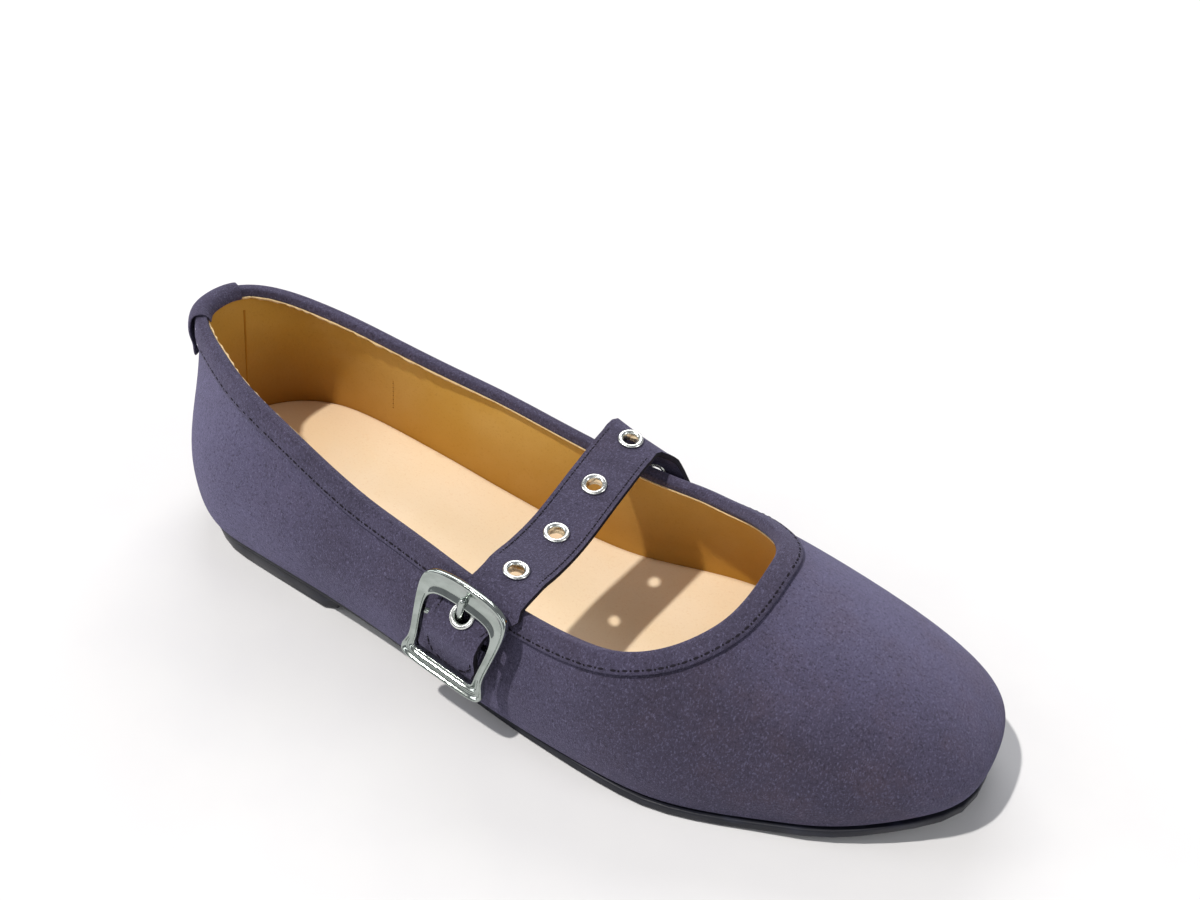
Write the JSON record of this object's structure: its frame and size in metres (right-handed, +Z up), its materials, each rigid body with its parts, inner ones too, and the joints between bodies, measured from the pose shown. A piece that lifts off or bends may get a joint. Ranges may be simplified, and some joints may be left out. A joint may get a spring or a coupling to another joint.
{
  "type": "ballet flat with buckled strap",
  "caption": "Right suede ballet flat with a low block heel, bound topline, heel tab and an instep strap with metal eyelets fastened by a square buckle.",
  "frame": {"origin": "centre of the bounding box at the floor", "axes": "+X to the toe, +Y to the medial side, +Z up; the shoe stands on z = 0"},
  "size_m": [0.2516, 0.0938, 0.0661],
  "materials": {
    "suede": "napped suede",
    "sole": "satin",
    "insole": "smooth",
    "silver": "polished"
  },
  "bodies": {
    "root": {"outsole": "sole", "heel": "sole", "insole": "insole", "upper": "suede", "topline_binding": "suede", "heel_tab": "suede", "strap": "suede", "buckle_strap": "suede", "buckle_frame": "silver", "buckle_prong": "silver", "eyelet_1": "silver", "eyelet_2": "silver", "eyelet_3": "silver", "eyelet_4": "silver", "eyelet_5": "silver", "eyelet_6": "silver"}
  },
  "joints": []
}
